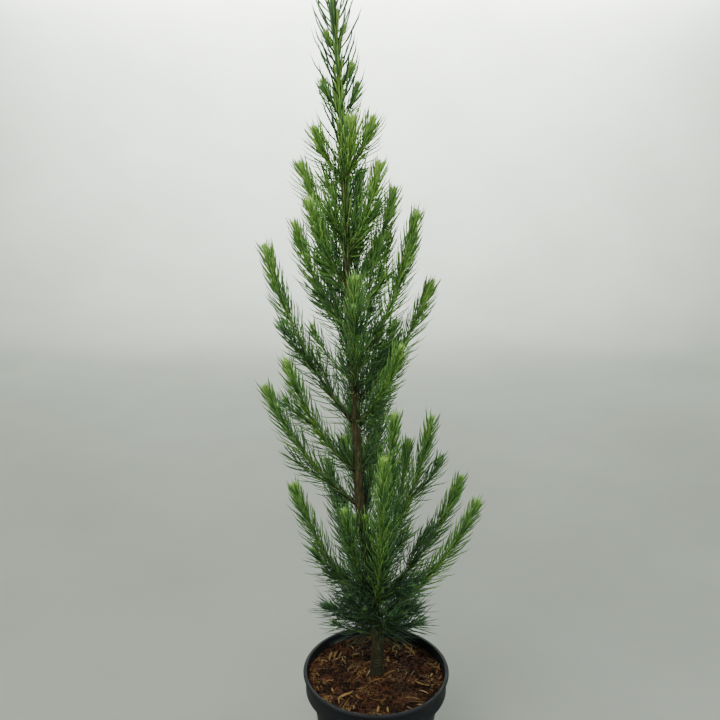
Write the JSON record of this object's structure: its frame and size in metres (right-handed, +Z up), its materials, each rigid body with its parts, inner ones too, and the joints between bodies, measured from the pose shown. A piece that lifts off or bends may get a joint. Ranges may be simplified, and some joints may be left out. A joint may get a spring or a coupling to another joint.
{
  "type": "potted upright japanese larch",
  "caption": "Slender upright young conifer with a leaning leader and steep needle-clad shoots, in a round black nursery pot filled with bark mulch.",
  "frame": {"origin": "centre of the pot's flat underside", "axes": "+Z up along the trunk, +X to the right and +Y to the back of the plant as pictured"},
  "size_m": [0.2776, 0.2006, 1.0041],
  "materials": {
    "pot": "moulded black plastic, slightly glossy, scuffed on the collar",
    "soil": "damp red-brown bark mulch with pale wood chips",
    "bark": "thin brown bark, greyer and ringed at the foot",
    "needles": "soft green needles, brighter yellow-green at the shoot tips",
    "shaded_needles": "dark blue-green inner needles"
  },
  "bodies": {
    "root": {"pot": "pot", "soil": "soil", "trunk": "bark", "bough_back_1": "bark", "bough_back_2": "bark", "bough_back_3": "bark", "bough_back_4": "bark", "bough_back_5": "bark", "bough_back_7": "bark", "bough_front_1": "bark", "bough_front_2": "bark", "bough_front_3": "bark", "bough_front_5": "bark", "bough_left_1": "bark", "bough_left_2": "bark", "bough_left_4": "bark", "bough_left_5": "bark", "bough_left_6": "bark", "bough_right_1": "bark", "bough_right_2": "bark", "bough_right_3": "bark", "bough_right_4": "bark", "bough_right_5": "bark", "foliage_back_1": "needles", "foliage_back_2": "needles", "foliage_back_3": "needles", "foliage_back_4": "needles", "foliage_back_5": "needles", "foliage_back_6": "needles", "foliage_back_7": "needles", "foliage_back_8": "needles", "foliage_back_9": "needles", "foliage_front_1": "needles", "foliage_front_2": "needles", "foliage_front_3": "needles", "foliage_front_4": "needles", "foliage_front_5": "needles", "foliage_leader": "needles", "foliage_left_1": "needles", "foliage_left_2": "needles", "foliage_left_3": "needles", "foliage_left_4": "needles", "foliage_left_5": "needles", "foliage_left_6": "needles", "foliage_left_7": "needles", "foliage_left_8": "needles", "foliage_left_9": "needles", "foliage_right_1": "needles", "foliage_right_2": "needles", "foliage_right_3": "needles", "foliage_right_4": "needles", "foliage_right_5": "needles", "foliage_right_6": "needles", "foliage_right_7": "needles", "foliage_right_8": "needles", "skirt_1": "shaded_needles", "skirt_2": "shaded_needles", "skirt_3": "shaded_needles", "skirt_4": "shaded_needles", "skirt_5": "shaded_needles"}
  },
  "joints": []
}
